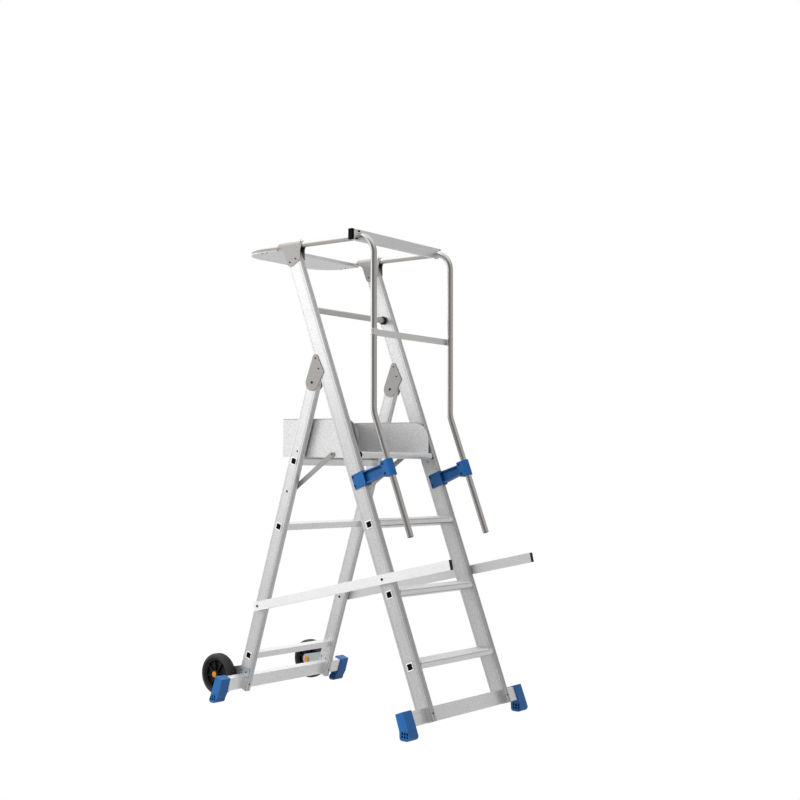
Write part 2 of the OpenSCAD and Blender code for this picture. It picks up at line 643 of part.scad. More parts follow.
module wheel_bracket_bolts() {
    color("dimgray") on_rear() both() for (p = bracket_bolts) translate([out_x + bracket_t, p[0], p[1]]) {
        translate([head_t / 2, 0, 0]) rod_x(rivet_head, head_t);
        translate([-bracket_t / 2, 0, 0]) rod_x(rivet_r, bracket_t);
    }
}
axle_end = wheel_x + wheel_w / 2 + 1;
axle_cap_r = 1.7 * axle_d / 2;
axle_cap_t = 2.5;
module wheel_axles() {
    color([0.84, 0.52, 0.05]) on_rear() both() translate([0, axle_w, axle_v]) {
        translate([(out_x + axle_end) / 2, 0, 0]) rod_x(axle_d / 2, axle_end - out_x + 2 * axle_cap_t);
        translate([out_x - axle_cap_t / 2, 0, 0]) rod_x(axle_cap_r, axle_cap_t);
        translate([axle_end + gap + axle_cap_t / 2, 0, 0]) rod_x(axle_cap_r, axle_cap_t);
    }
}
tyre_t = 20;
rim_r = wheel_r - tyre_t;
rim_t = 8;
hub_r = 17;
rib_t = 4;
rib_w = wheel_w - 4 * rib_t;
module wheel(s) {
    color([0.12, 0.12, 0.13]) translate([s * wheel_x, y0 + axle_y, axle_h]) rotate([0, 90, 0]) difference() {
        union() {
            cylinder(r = hub_r, h = wheel_w, center = true);
            difference() {
                cylinder(r = rim_r, h = wheel_w - 10, center = true);
                cylinder(r = rim_r - rim_t, h = wheel_w, center = true);
            }
            for (k = [0:7]) rotate([0, 0, k * 45 + 12]) translate([hub_r - 0.75 * rib_t, -rib_t / 2, -rib_w / 2])
                cube([rim_r - hub_r - 0.25 * rib_t, rib_t, rib_w]);
            cylinder(r = rim_r - rim_t / 2, h = 1.25 * rib_t, center = true);
        }
        cylinder(r = axle_d / 2 + play, h = 2 * wheel_w, center = true);
    }
}
module tyre(s) {
    color([0.1, 0.1, 0.1]) translate([s * wheel_x, y0 + axle_y, axle_h]) rotate([0, 90, 0]) rotate_extrude()
        translate([(rim_r + wheel_r) / 2, 0]) round_rect(wheel_r - rim_r, wheel_w, 8);
}

module side_bar_pivot_bolts() {
    color("dimgray") on_rear() both() translate([0, 0, rear_v(bar_rear_h)]) {
        translate([(in_x + bar_x + bar_t / 2) / 2, 0, 0]) rod_x(pin_r - play, bar_x + bar_t / 2 - in_x);
        translate([out_x + bar_gap / 2, 0, 0]) rod_x(2 * pin_r, bar_gap - gap);
        translate([bar_x + bar_t / 2 + gap + head_t / 2, 0, 0]) rod_x(pin_head, head_t);
        translate([bar_x + bar_t / 2, 0, 0]) rod_x(pin_r - play, 2 * gap + head_t);
        translate([in_x - head_t / 2, 0, 0]) rod_x(pin_head, head_t);
    }
}
module strut_pivot_pins() {
    color("dimgray") on_rear() both() translate([0, 0, rear_v(strut_low_h)]) {
        translate([(out_x + strut_x - gap) / 2, 0, 0]) rod_x(pin_r - 1 - play, out_x - strut_x + gap);
        translate([out_x + head_t / 2, 0, 0]) rod_x(pin_r, head_t);
        translate([strut_x - gap - head_t / 2, 0, 0]) rod_x(pin_r, head_t);
    }
}

// Deck: a ribbed panel with a round nosing on the pivot line and a skirt at the rear
module deck_panel() {
    color("lightgrey") translate([0, y0 + deck_pivot_y, deck_pivot_h]) difference() {
        union() {
            along_x(2 * deck_x) {
                circle(deck_t / 2);
                translate([0, deck_t / 2 - deck_wall]) square([deck_l, deck_wall]);
                translate([deck_l - deck_wall, -deck_t / 2]) square([deck_wall, deck_t]);
                for (k = [1:6]) translate([k * deck_l / 7, -deck_t / 2 + 8]) square([deck_wall, deck_t - 9]);
            }
            both() translate([deck_x - deck_wall, 0, -deck_t / 2]) cube([deck_wall, deck_l, deck_t]);
        }
        rod_x(pin_r, 2 * deck_x + 5 * pin_r);
        for (k = [1:20]) translate([0, k * deck_l / 21.5, deck_t / 2]) cube([4 * in_x, 3, 1.6], center = true);
    }
}
module toe_outline() {
    low = -deck_t / 2;
    high = deck_t / 2 + toe_h;
    polygon(concat([[9, low]], arc([9 + toe_r, high - toe_r], toe_r, 180, 90, 14), [[deck_l, high], [deck_l, low]]));
}
module toe_board(s) {
    color("gainsboro") translate([0, y0 + deck_pivot_y, deck_pivot_h]) scale_x(s) {
        difference() {
            plate_x(deck_x, deck_wall) toe_outline();
            rod_x(pin_r + 3, reach_x);
        }
        translate([toe_x + 0.4, strut_reach, 0]) rod_x(2 * rung_wall * 2.5, 0.8);
    }
}
module rear_toe_board() {
    color("gainsboro") translate([-deck_x + gap, y0 + deck_pivot_y + deck_l - 2 * deck_wall, deck_h + 1])
        cube([2 * (deck_x - gap), deck_wall, toe_h - 1]);
}

// Flat struts from the rear stiles up to the deck
module deck_struts() {
    color([0.67, 0.66, 0.64]) both() translate([strut_x, y0 + strut_low_y, strut_low_h]) rotate([-strut_slope, 0, 0])
        plate_x(0, strut_t) difference() {
            union() {
                translate([-strut_l, -strut_b / 2]) square([strut_l, strut_b]);
                circle(strut_b / 2);
                translate([-strut_l, 0]) circle(strut_b / 2);
            }
            circle(pin_r - 1 + play);
            translate([-strut_l, 0]) circle(rivet_r + play);
        }
}
module strut_rivets() {
    color("dimgray") both() translate([strut_x, y0 + strut_top[0], strut_top[1]]) {
        translate([strut_t / 2, 0, 0]) rod_x(rivet_r, strut_t);
        translate([strut_t + 0.15 * head_t, 0, 0]) rod_x(pin_r, 0.3 * head_t);
    }
}

// Long side bars: hollow tubes pivoted on the rear stiles and locked over the front stiles
module on_bar(s) {
    translate([s * bar_x, y0 + rear_y(bar_rear_h), bar_rear_h]) rotate([-bar_slope, 0, 0]) children();
}
module side_bar(s) {
    color("gainsboro") on_bar(s) difference() {
        translate([-bar_t / 2, -bar_l + cap_l, -bar_h / 2]) cube([bar_t, bar_l + bar_tail - cap_l, bar_h]);
        translate([-bar_t / 2 + bar_wall, -bar_l, -bar_h / 2 + bar_wall])
            cube([bar_t - 2 * bar_wall, bar_l + 2 * bar_tail, bar_h - 2 * bar_wall]);
        rod_x(pin_r, 3 * bar_t);
        translate([0, -bar_lock, 0]) rod_x(pin_r, 3 * bar_t);
    }
}
module bar_cap(s) {
    color([0.2, 0.2, 0.2]) on_bar(s) {
        translate([-bar_t / 2, -bar_l, -bar_h / 2]) cube([bar_t, cap_l, bar_h]);
        translate([-bar_t / 2 + bar_wall + 0.1, -bar_l + cap_l, -bar_h / 2 + bar_wall + 0.1])
            cube([bar_t - 2 * bar_wall - 0.2, 14, bar_h - 2 * bar_wall - 0.2]);
    }
}
module lock_plunger(s) {
    nose = s * (bar_t / 2 + bar_gap - gap);
    color("dimgray") on_bar(s) translate([0, -bar_lock, 0]) {
        translate([-(nose - s * bar_t / 2) / 2, 0, 0]) rod_x(pin_r - play, abs(nose) + bar_t / 2);
        translate([s * (bar_t + head_t) / 2, 0, 0]) rod_x(pin_head, head_t);
    }
}

// Top gate bar: a channel that turns on the left level tube and drops over the right one
gate_cap = 12;
gate_wall = 2.5;
gate_block = 0.88 * tube_d;              // solid length of the channel beyond each tube's centre
module top_gate_bar() {
    left = gate_cap - tube_x - gate_out;
    right = tube_x + tube_r + 4;
    low = gate_rise - gate_h / 2;
    color("silver") translate([0, y0 + gate_y, tube_top_h]) difference() {
        translate([left, 0, low]) cube([right - left, gate_d, gate_h]);
        translate([gate_block - tube_x, gate_wall, low + gate_wall])
            cube([2 * (tube_x - gate_block), gate_d, gate_h - 2 * gate_wall]);
        for (s = [-1, 1]) translate([s * tube_x, 0, 0]) rotate([90, 0, 0]) cylinder(r = tube_r + gap, h = 3 * gate_d, center = true);
        translate([tube_x - tube_r - gap, -gate_d, -gate_h]) cube([tube_d + 2 * gap, 3 * gate_d, gate_h]);
    }
}
module top_gate_cap() {
    color("black") translate([-tube_x - gate_out, y0 + gate_y, tube_top_h + gate_rise - gate_h / 2])
        cube([gate_cap, gate_d, gate_h]);
}

// Middle gate bar: a flat bar on a collar that turns on the left upright, with an open hook at the right
mid_y = bend_y + (mid_gate_h - tube_bend_h) * tan(tube_lean);
module mid_gate_bar() {
    t = 5;
    r = tube_r + 3;
    color([0.67, 0.66, 0.64]) translate([0, y0 + mid_y, mid_gate_h]) rotate([-tube_lean, 0, 0]) difference() {
        union() {
            for (x = [-1, 1]) translate([x * tube_x, 0, -mid_gate_b / 2]) cylinder(r = r, h = mid_gate_b);
            translate([-tube_x, r - t, -mid_gate_b / 2]) cube([2 * tube_x, t, mid_gate_b]);
        }
        for (x = [-1, 1]) translate([x * tube_x, 0, -mid_gate_b]) cylinder(r = tube_r + gap, h = 2 * mid_gate_b);
        translate([tube_x - 2 * r, -2 * r, -mid_gate_b]) cube([4 * r, 2 * r, 2 * mid_gate_b]);
    }
}

front_stile(-1);  // left_front_stile
front_stile(1);  // right_front_stile
stile_caps();
tread(1);  // lower_tread
tread(2);  // middle_tread
tread(3);  // upper_tread
front_stabiliser();
front_foot(-1);  // left_front_foot
front_foot(1);  // right_front_foot
front_stabiliser_rivets();
hinge_plates(-1);  // left_hinge_plates
hinge_plates(1);  // right_hinge_plates
hinge_plate_rivets();
fold_pivot_bolts();
deck_pivot_pins();
guard_hoop();
hoop_bracket(-1);  // left_hoop_bracket
hoop_bracket(1);  // right_hoop_bracket
hoop_bracket_bolts();
top_bracket(-1);  // left_top_bracket
top_bracket(1);  // right_top_bracket
top_bracket_rivets();
tool_tray();
tray_bolts();
knee_rail();
knee_rail_collars();
rear_stile(-1);  // left_rear_stile
rear_stile(1);  // right_rear_stile
rear_rung(0);  // bottom_rear_rung
rear_rung(1);  // middle_rear_rung
rear_rung(2);  // top_rear_rung
rear_stabiliser();
rear_foot(-1);  // left_rear_foot
rear_foot(1);  // right_rear_foot
rear_stabiliser_rivets();
wheel_brackets();
wheel_bracket_bolts();
wheel_axles();
side_bar_pivot_bolts();
strut_pivot_pins();
wheel(-1);  // left_wheel
tyre(-1);  // left_tyre
wheel(1);  // right_wheel
tyre(1);  // right_tyre
deck_panel();
toe_board(-1);  // left_toe_board
toe_board(1);  // right_toe_board
rear_toe_board();
deck_struts();
strut_rivets();
side_bar(-1);  // left_side_bar
bar_cap(-1);  // left_bar_cap
lock_plunger(-1);  // left_lock_plunger
side_bar(1);  // right_side_bar
bar_cap(1);  // right_bar_cap
lock_plunger(1);  // right_lock_plunger
top_gate_bar();
top_gate_cap();
mid_gate_bar();
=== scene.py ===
# Looks of the folding podium step: finishes for every part, fine details, light and camera.
# Metres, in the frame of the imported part: +Z up, -Y the climbing side, X left to right.

import math

import bmesh
import bpy
from mathutils import Matrix, Vector


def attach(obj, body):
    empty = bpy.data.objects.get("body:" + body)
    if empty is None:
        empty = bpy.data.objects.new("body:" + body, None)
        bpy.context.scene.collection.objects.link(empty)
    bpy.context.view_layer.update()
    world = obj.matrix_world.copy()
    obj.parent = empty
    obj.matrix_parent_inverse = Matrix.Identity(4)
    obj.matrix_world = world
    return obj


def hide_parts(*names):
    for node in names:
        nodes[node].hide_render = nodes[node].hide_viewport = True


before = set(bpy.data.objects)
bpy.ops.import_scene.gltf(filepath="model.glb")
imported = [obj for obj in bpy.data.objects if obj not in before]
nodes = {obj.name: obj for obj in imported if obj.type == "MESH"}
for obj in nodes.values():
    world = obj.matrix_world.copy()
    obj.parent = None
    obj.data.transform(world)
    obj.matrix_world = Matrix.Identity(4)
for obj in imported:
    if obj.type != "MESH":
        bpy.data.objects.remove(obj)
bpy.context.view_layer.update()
scene = bpy.context.scene
scene.view_settings.view_transform = "Standard"

# Places and sizes shared with the part's source, in metres
FLOOR_FRONT = -0.554779
FLOOR_REAR = FLOOR_FRONT + 1.021235
FRONT_LEAN = math.radians(22.05)
REAR_LEAN = math.radians(16.63)
STILE_W = 0.025
OUT_X = 0.259
IN_X = OUT_X - STILE_W
MID_X = OUT_X - STILE_W / 2
FRONT_D = 0.070
REAR_D = 0.060
STEP_RISE = 0.263
RUNG_S = 0.027
RUNG_WALL = 0.0018
FLARE = 0.0015
STAB_AT = 0.077
PIVOT_H = 1.327
PIVOT_BACK = 0.081
HINGE_L = 0.086
DECK_PIVOT = Vector((0, FLOOR_FRONT + 0.394608, 1.0395))
DECK_L = 0.420
DECK_T = 0.025
DECK_TOP_H = 1.052
DECK_GAP = 0.0004
DECK_X = IN_X - 0.009
TOE_H = 0.129
TOE_R = 0.075
STRUT_REACH = 0.142
TUBE_R = 0.0125
TUBE_TOP_H = 1.889
GATE_Y = FLOOR_FRONT + 0.395916
GATE_D = 0.020
BAR_SLOPE = math.radians(13.4922)
AXLE = Vector((0, FLOOR_FRONT + 1.118545, 0.097))
WHEEL_X = 0.286
WHEEL_R = 0.088
WHEEL_W = 0.044
TYRE_T = 0.020
AXLE_R = 0.007
FRONT = Matrix.Translation((0, FLOOR_FRONT, 0)) @ Matrix.Rotation(-FRONT_LEAN, 4, "X")
REAR = Matrix.Translation((0, FLOOR_REAR, 0)) @ Matrix.Rotation(REAR_LEAN, 4, "X")
SIDES = (-1, 1)
SADDLE_Y = FLOOR_FRONT + TUBE_TOP_H * math.tan(FRONT_LEAN)

# Camera, solved from mirrored points of the two front stiles
PHOTO_PX = 800
FOCAL_PX = 1211.3
HORIZON_SHIFT_PX = 76.8
EYE = Vector((-3.817, FLOOR_FRONT - 2.7135, 1.021))
CAMERA_RIGHT = Vector((0.6289, -0.7773, 0.0170))
CAMERA_UP = Vector((0.0, 0.0218, 0.9998))
SENSOR = 36.0


def make_camera():
    forward = CAMERA_UP.cross(CAMERA_RIGHT).normalized()
    right = forward.cross(CAMERA_UP).normalized()
    up = right.cross(forward).normalized()
    cam = bpy.data.cameras.new("camera")
    cam.sensor_width = SENSOR
    cam.lens = FOCAL_PX / PHOTO_PX * SENSOR
    cam.shift_y = HORIZON_SHIFT_PX / PHOTO_PX
    obj = bpy.data.objects.new("camera", cam)
    scene.collection.objects.link(obj)
    m = Matrix((right, up, -forward)).transposed().to_4x4()
    m.translation = EYE
    obj.matrix_world = m
    scene.camera = obj


make_camera()


# Materials
MOTTLE_SCALE = 190.0
CLOUD_SCALE = 7.0
DRIFT_SCALE = 14.0
SCUFF_SCALE = (30, 30, 240)


def new_material(name):
    mat = bpy.data.materials.new(name)
    mat.use_nodes = True
    tree = mat.node_tree
    tree.nodes.clear()
    out = tree.nodes.new("ShaderNodeOutputMaterial")
    bsdf = tree.nodes.new("ShaderNodeBsdfPrincipled")
    tree.links.new(bsdf.outputs[0], out.inputs[0])
    return mat, tree, bsdf


def node(tree, kind, inputs=None, **props):
    n = tree.nodes.new(kind)
    for key, value in props.items():
        setattr(n, key, value)
    for key, value in (inputs or {}).items():
        if isinstance(value, bpy.types.NodeSocket):
            tree.links.new(value, n.inputs[key])
        else:
            n.inputs[key].default_value = value
    return n


def maths(tree, operation, a, b=0.0, c=0.0):
    return node(tree, "ShaderNodeMath", {0: a, 1: b, 2: c}, operation=operation).outputs[0]


def spread_to(tree, value, low, high, to_low, to_high):
    return node(tree, "ShaderNodeMapRange", {"Value": value, "From Min": low, "From Max": high,
                                             "To Min": to_low, "To Max": to_high}).outputs[0]


def placed(tree, turn_x=0.0, scale=(1, 1, 1)):
    """Object coordinates turned about X, so that their Z runs along a leaning stile."""
    tex = node(tree, "ShaderNodeTexCoord")
    turned = node(tree, "ShaderNodeMapping",
                  {"Vector": tex.outputs["Object"], "Rotation": (turn_x, 0, 0)})
    return node(tree, "ShaderNodeMapping", {"Vector": turned.outputs[0], "Scale": scale}).outputs[0]


def noise(tree, where, scale, detail=2.0):
    return node(tree, "ShaderNodeTexNoise",
                {"Vector": where, "Scale": scale, "Detail": detail}).outputs["Fac"]


def edges_of(tree, radius):
    """Rounds the edges in the shading, and returns that normal with a mask that is 1 on the edges."""
    bevel = node(tree, "ShaderNodeBevel", {"Radius": radius}, samples=4)
    flat = node(tree, "ShaderNodeNewGeometry")
    dot = node(tree, "ShaderNodeVectorMath", {0: bevel.outputs[0], 1: flat.outputs["Normal"]},
               operation="DOT_PRODUCT")
    return bevel.outputs[0], spread_to(tree, dot.outputs["Value"], 0.999, 0.9, 0.0, 1.0)


def tinted(tree, colour, shade):
    """The colour, multiplied by a shade that a chain of nodes works out."""
    return node(tree, "ShaderNodeVectorMath", {0: colour, 1: shade}, operation="MULTIPLY").outputs[0]


def axis_of(tree, vector, axis):
    """One of the three numbers of a vector."""
    return node(tree, "ShaderNodeSeparateXYZ", {0: vector}).outputs[axis]


def metal(name, colour, roughness=0.38, metallic=0.85, turn_x=0.0, grain=(400, 400, 5), spread=0.02,
          speckle=0.10, cloudy=0.02, vary=0.05, bump=0.05, edge=0.12, radius=0.0008, band=None,
          inside=None, height_shade=None, top=None):
    """Metal with a fine mottle, faint drawing marks, cloudy stains and brighter worn edges.

    band is (front, depth, shade): painted shade that darkens the strip behind the front edge, with a
    painted dark corner line and a painted dark line down the middle of the front face.
    inside is (front, rear): painted shade on faces turned to the middle plane, its strength at the deck's
    front and rear; above 1 it is painted light.
    dust is (low, high, shade): painted shade for light that falls off towards the floor, full below the low
    height, gone above the high one.
    top is the shade of level faces: painted shade between the ribs.
    """
    mat, tree, bsdf = new_material(name)
    where = placed(tree, turn_x)
    face = node(tree, "ShaderNodeNewGeometry").outputs["Normal"]
    lines = noise(tree, placed(tree, turn_x, grain), 1.0, 3.0)
    mottle = noise(tree, where, MOTTLE_SCALE, 1.0)
    cloud = noise(tree, where, CLOUD_SCALE, 4.0)
    normal, edge_mask = edges_of(tree, radius)
    shade = maths(tree, "ADD", spread_to(tree, lines, 0.3, 0.7, 1 - spread, 1 + spread),
                  spread_to(tree, mottle, 0.3, 0.7, -speckle, speckle))
    shade = maths(tree, "ADD", shade, spread_to(tree, cloud, 0.35, 0.65, -cloudy, cloudy))
    # Painted shade: the strip behind the front edge darker, a dark line at its corner and one down the
    # middle of the front face
    if band:
        front, depth, dark = band
        across = axis_of(tree, where, 1)
        shade = maths(tree, "MULTIPLY", shade,
                      spread_to(tree, across, front + depth - 0.001, front + depth, dark, 1.0))
        sideways = maths(tree, "ABSOLUTE", axis_of(tree, where, 0))
        off_middle = maths(tree, "ABSOLUTE", maths(tree, "SUBTRACT", sideways, MID_X + 0.002))
        shade = maths(tree, "MULTIPLY", shade, spread_to(tree, off_middle, 0.0012, 0.0024, 0.75, 1.0))
        facing = maths(tree, "ABSOLUTE", axis_of(tree, face, 0))
        line = maths(tree, "MULTIPLY", spread_to(tree, facing, 0.5, 0.9, 0.0, 1.0),
                     spread_to(tree, across, front + 0.0030, front + 0.0042, 0.30, 0.0))
        shade = maths(tree, "MULTIPLY", shade, maths(tree, "SUBTRACT", 1.0, line))
    # Painted shade on the faces turned to the middle plane, graded from the deck's front to its rear
    if inside:
        turn = node(tree, "ShaderNodeVectorMath", {0: where, 1: (1, 0, 0)}, operation="MULTIPLY").outputs[0]
        away = node(tree, "ShaderNodeVectorMath", {0: turn, 1: face},
                    operation="DOT_PRODUCT").outputs["Value"]
        depth = axis_of(tree, where, 1)
        hidden = spread_to(tree, depth, DECK_PIVOT.y, DECK_PIVOT.y + DECK_L, *inside)
        shade = maths(tree, "MULTIPLY", shade, spread_to(tree, away, -0.1, 0.1, hidden, 1.0))
    # Painted shade on level faces
    if top:
        level = axis_of(tree, face, 2)
        shade = maths(tree, "MULTIPLY", shade, spread_to(tree, level, 0.7, 0.95, 1.0, top))
    # Painted shade, darker towards the floor
    if height_shade:
        low, high, low_shade = height_shade
        tall = axis_of(tree, node(tree, "ShaderNodeTexCoord").outputs["Object"], 2)
        shade = maths(tree, "MULTIPLY", shade, spread_to(tree, tall, low, high, low_shade, 1.0))
    shade = maths(tree, "MULTIPLY_ADD", edge_mask, edge, shade)
    tree.links.new(tinted(tree, colour, shade), bsdf.inputs["Base Color"])
    rough = maths(tree, "ADD", spread_to(tree, cloud, 0.3, 0.7, roughness - vary, roughness + vary),
                  spread_to(tree, lines, 0.3, 0.7, -vary / 2, vary / 2))
    tree.links.new(rough, bsdf.inputs["Roughness"])
    b = node(tree, "ShaderNodeBump",
             {"Height": lines, "Normal": normal, "Strength": bump, "Distance": 0.0005})
    tree.links.new(b.outputs[0], bsdf.inputs["Normal"])
    bsdf.inputs["Metallic"].default_value = metallic
    return mat


def plastic(name, colour, roughness=0.45, spread=0.10, grain=900, bump=0.15, edge=0.5, radius=0.0012,
            sheen=0.5, crease=None, recess=None):
    """Moulded plastic: spark-eroded texture, slow drift of tone, rounded edges rubbed lighter.

    crease is the height of the dark line: painted shade of a small step in the side.
    recess is the shade of the deepest hollows, found by ambient occlusion: painted shade.
    """
    mat, tree, bsdf = new_material(name)
    where = placed(tree)
    fine = noise(tree, where, grain, 2.0)
    slow = noise(tree, where, DRIFT_SCALE, 4.0)
    scuffs = noise(tree, placed(tree, 0.4, SCUFF_SCALE), 1.0, 4.0)
    normal, edge_mask = edges_of(tree, radius)
    shade = maths(tree, "ADD", spread_to(tree, slow, 0.3, 0.7, 1 - spread, 1 + spread),
                  spread_to(tree, scuffs, 0.62, 0.75, 0.0, spread))
    # Painted shade: a thin dark line at the crease height
    if crease:
        height = axis_of(tree, where, 2)
        off = maths(tree, "ABSOLUTE", maths(tree, "SUBTRACT", height, crease))
        shade = maths(tree, "MULTIPLY", shade, spread_to(tree, off, 0.0005, 0.0014, 0.55, 1.0))
    # Painted shade in the hollows, from ambient occlusion
    if recess:
        hollow = node(tree, "ShaderNodeAmbientOcclusion", {"Distance": 0.030}, samples=8).outputs["AO"]
        shade = maths(tree, "MULTIPLY", shade, spread_to(tree, hollow, 0.35, 0.85, recess, 1.0))
    shade = maths(tree, "MULTIPLY_ADD", edge_mask, edge, shade)
    tree.links.new(tinted(tree, colour, shade), bsdf.inputs["Base Color"])
    rough = maths(tree, "ADD", spread_to(tree, slow, 0.3, 0.7, roughness - 0.06, roughness + 0.06),
                  spread_to(tree, scuffs, 0.6, 0.8, 0.0, 0.08))
    tree.links.new(rough, bsdf.inputs["Roughness"])
    b = node(tree, "ShaderNodeBump",
             {"Height": fine, "Normal": normal, "Strength": bump, "Distance": 0.0003})
    tree.links.new(b.outputs[0], bsdf.inputs["Normal"])
    bsdf.inputs["Specular IOR Level"].default_value = sheen
    return mat


ALONG_X = (5, 400, 400)
SHEET = {"roughness": 0.45, "grain": (8, 300, 300), "speckle": 0.13}
PLATE = {"roughness": 0.42, "grain": (60, 60, 60), "speckle": 0.02}
# Where the painted shade of the stiles' front strip lies: its front, its depth and its shade
FRONT_EDGE = (FLOOR_FRONT * math.cos(FRONT_LEAN) - FRONT_D / 2, 0.018, 0.95)
REAR_EDGE = (FLOOR_REAR * math.cos(REAR_LEAN) - REAR_D / 2, 0.015, 0.95)
MATERIALS = {
    # The stiles get painted shade, darker towards the floor
    "front_profile": metal("front profile", (0.81, 0.81, 0.81), roughness=0.34, turn_x=FRONT_LEAN,
                           band=FRONT_EDGE, height_shade=(1.10, 1.50, 0.84)),
    "rear_profile": metal("rear profile", (0.81, 0.81, 0.81), roughness=0.34, turn_x=-REAR_LEAN,
                          band=REAR_EDGE, height_shade=(0.2, 1.4, 0.86)),
    # The tread tops get painted shade between the ribs
    "tread": metal("tread", (0.84, 0.84, 0.84), grain=ALONG_X, edge=0.25, top=0.72),
    "rung": metal("rung", (0.86, 0.86, 0.86), grain=ALONG_X),
    "knee_rail": metal("knee rail", (0.60, 0.59, 0.58), grain=ALONG_X, speckle=0.01),
    "stabiliser": metal("stabiliser", (0.86, 0.86, 0.86), grain=ALONG_X),
    # The side bars' faces turned to the middle get painted shade
    "bar": metal("side bar", (0.92, 0.92, 0.92), roughness=0.42, metallic=0.65, turn_x=BAR_SLOPE,
                 grain=(400, 5, 400), speckle=0.05, inside=(0.80, 0.80)),
    "gate": metal("gate bar", (0.82, 0.82, 0.82), grain=ALONG_X, speckle=0.02),
    "flat_gate": metal("flat gate bar", (0.78, 0.765, 0.745), grain=ALONG_X, speckle=0.02),
    "tube": metal("tube", (0.60, 0.585, 0.57), roughness=0.24, metallic=1.0, spread=0.0, speckle=0.0,
                  cloudy=0.0, vary=0.006, bump=0.0, edge=0.3, radius=0.0004),
    "sheet": metal("sheet", (0.84, 0.84, 0.84), **SHEET),
    # The toe boards' inner faces get painted shade towards the rear and a little painted light at the front
    "toe_board": metal("toe board", (0.81, 0.81, 0.81), inside=(1.05, 0.66), **SHEET),
    "tray": metal("tray", (0.89, 0.89, 0.89), **SHEET),
    "plate": metal("steel plate", (0.405, 0.39, 0.38), **PLATE),
    "bracket": metal("wheel bracket", (0.48, 0.53, 0.555), **PLATE),
    "fastener": metal("fastener", (0.034, 0.033, 0.032), roughness=0.42, grain=(200, 200, 200),
                      edge=0.8, radius=0.0004),
    # The shoes get a painted shade line at the crease height
    "blue": plastic("blue plastic", (0.001, 0.112, 0.36), roughness=0.42, crease=0.036),
    # The hoop brackets get painted shade in their hollows
    "bracket_blue": plastic("bracket blue", (0.001, 0.090, 0.30), roughness=0.42, recess=0.5),
    # Near-white for the rung rims and tread ribs: painted highlight
    "bright": metal("painted highlight white", (0.98, 0.98, 0.98), roughness=0.6, metallic=0.2, speckle=0.02),
    "wire": metal("spring wire", (0.16, 0.155, 0.15), roughness=0.4, speckle=0.02),
    "black": plastic("black plastic", (0.006, 0.006, 0.0065), roughness=0.5, sheen=0.3),
    "jet": plastic("jet black plastic", (0.004, 0.004, 0.004), roughness=0.7, edge=1.0, sheen=0.05),
    "orange": plastic("orange plastic", (0.70, 0.25, 0.0005), roughness=0.5, edge=0.1, sheen=0.3),
    "tyre": plastic("tyre rubber", (0.022, 0.022, 0.022), roughness=0.62, grain=500, bump=0.3, edge=0.4),
}
FINISH = {
    "front_profile": "left_front_stile right_front_stile",
    "rear_profile": "left_rear_stile right_rear_stile",
    "tread": "lower_tread middle_tread upper_tread",
    "rung": "bottom_rear_rung middle_rear_rung top_rear_rung",
    "knee_rail": "knee_rail",
    "stabiliser": "front_stabiliser rear_stabiliser",
    "gate": "top_gate_bar",
    "flat_gate": "mid_gate_bar",
    "bar": "left_side_bar right_side_bar",
    "tube": "guard_hoop",
    "sheet": "deck_panel",
    "toe_board": "left_toe_board right_toe_board rear_toe_board",
    "tray": "tool_tray",
    "plate": "left_hinge_plates right_hinge_plates left_top_bracket right_top_bracket deck_struts",
    "bracket": "wheel_brackets",
    "blue": "left_front_foot right_front_foot left_rear_foot right_rear_foot",
    "bracket_blue": "left_hoop_bracket right_hoop_bracket",
    "black": "stile_caps knee_rail_collars left_bar_cap right_bar_cap deck_pivot_pins "
             "left_wheel right_wheel",
    "jet": "top_gate_cap",
    "orange": "wheel_axles",
    "tyre": "left_tyre right_tyre",
}
finish_of = {n: MATERIALS[key] for key, names in FINISH.items() for n in names.split()}
for name, obj in nodes.items():
    for s in obj.material_slots:
        s.material = finish_of.get(name, MATERIALS["fastener"])


# Mesh helpers
SMOOTH_BELOW = math.radians(35)


class Shape:
    """Collects mesh parts that become one piece."""

    def __init__(self):
        self.bm = bmesh.new()

    def take(self, part, matrix=Matrix.Identity(4)):
        part.transform(matrix)
        if matrix.determinant() < 0:
            bmesh.ops.reverse_faces(part, faces=part.faces[:])
        mesh = bpy.data.meshes.new("part")
        part.to_mesh(mesh)
        part.free()
        self.bm.from_mesh(mesh)
        bpy.data.meshes.remove(mesh)
        return self

    def piece(self, name, finish, body, slot, replaced=()):
        mesh = bpy.data.meshes.new(name)
        self.bm.to_mesh(mesh)
        self.bm.free()
        for p in mesh.polygons:
            p.use_smooth = True
        mesh.set_sharp_from_angle(angle=SMOOTH_BELOW)
        mesh.materials.append(MATERIALS[finish])
        obj = bpy.data.objects.new(name, mesh)
        scene.collection.objects.link(obj)
        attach(obj, body)
        if replaced:
            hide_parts(*replaced)


def stacked(rings, closed=False):
    """A skin through rings of points, capped at both ends unless the stack closes on itself."""
    bm = bmesh.new()
    loops = [[bm.verts.new(p) for p in ring] for ring in rings]
    n = len(loops[0])
    pairs = list(zip(loops, loops[1:])) + ([(loops[-1], loops[0])] if closed else [])
    for a, b in pairs:
        for i in range(n):
            j = (i + 1) % n
            bm.faces.new((a[i], a[j], b[j], b[i]))
    if not closed:
        bm.faces.new(loops[0][::-1])
        bm.faces.new(loops[-1])
    bmesh.ops.recalc_face_normals(bm, faces=bm.faces[:])
    return bm


def turned(profile, sides=32, closed=False):
    """A shape turned about Z from (radius, height) points."""
    angles = [2 * math.pi * i / sides for i in range(sides)]
    rings = [[(r * math.cos(a), r * math.sin(a), z) for a in angles] for r, z in profile]
    return stacked(rings, closed)


